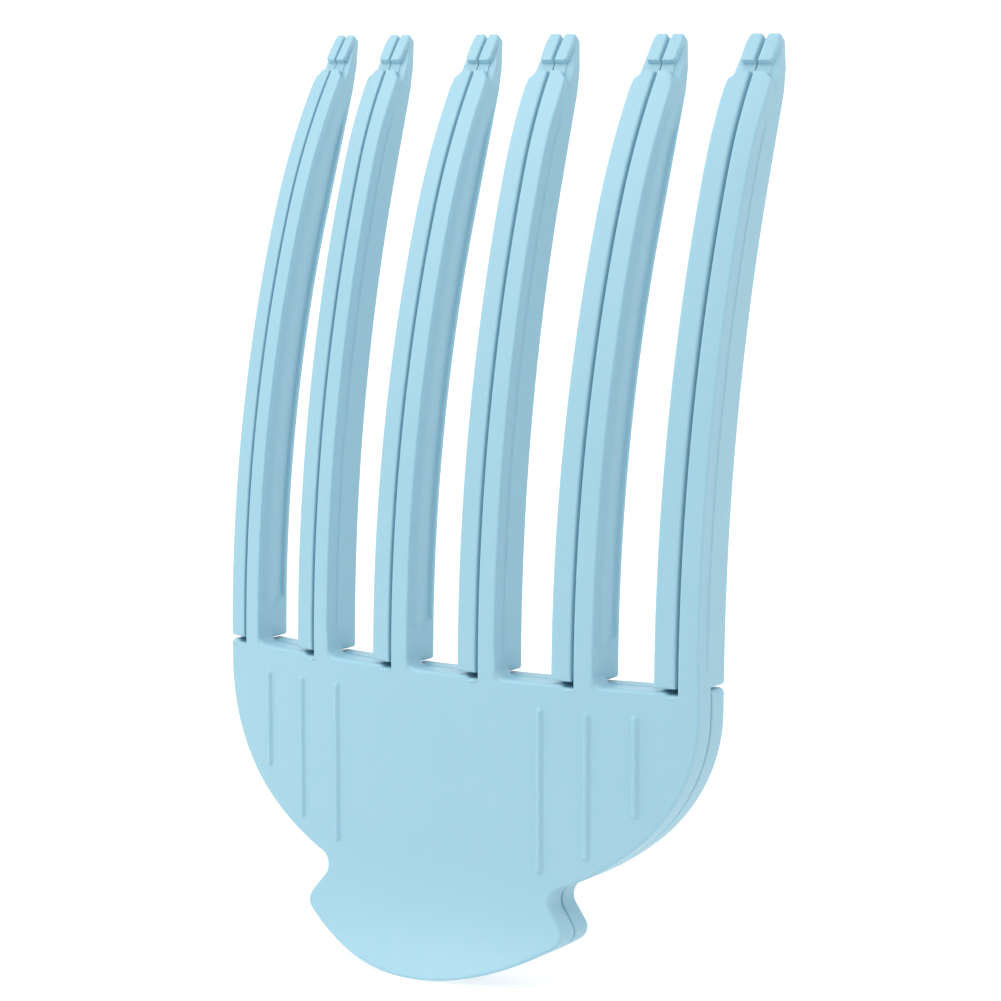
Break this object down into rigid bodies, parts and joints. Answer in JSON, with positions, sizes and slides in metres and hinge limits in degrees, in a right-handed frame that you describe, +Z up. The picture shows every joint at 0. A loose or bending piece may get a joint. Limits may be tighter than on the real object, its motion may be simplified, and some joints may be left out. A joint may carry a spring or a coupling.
{
  "type": "hair styling comb clip",
  "caption": "Curved nested-comb hair clip: the front comb slides sideways on the rear comb to open the slits between paired tines; ribbed plates and a flared thumb tab below.",
  "frame": {"origin": "under the middle of the bounding box, at the lowest point of the thumb tabs", "axes": "+X across the tines, to the right seen from the front; +Y from the front face to the back; +Z up along the tines"},
  "size_m": [0.0704, 0.035, 0.1164],
  "materials": {
    "comb_plastic": "satin light blue moulded plastic"
  },
  "bodies": {
    "rear_comb": {"rear_comb": "comb_plastic"},
    "front_comb": {"front_comb": "comb_plastic"}
  },
  "joints": [
    {"name": "side_slide", "type": "hinge", "parent": "rear_comb", "child": "front_comb", "pos_m": [0, 0.11206, 0.06], "axis": [0, 0, 1], "range_deg": [0, 2.8]}
  ]
}
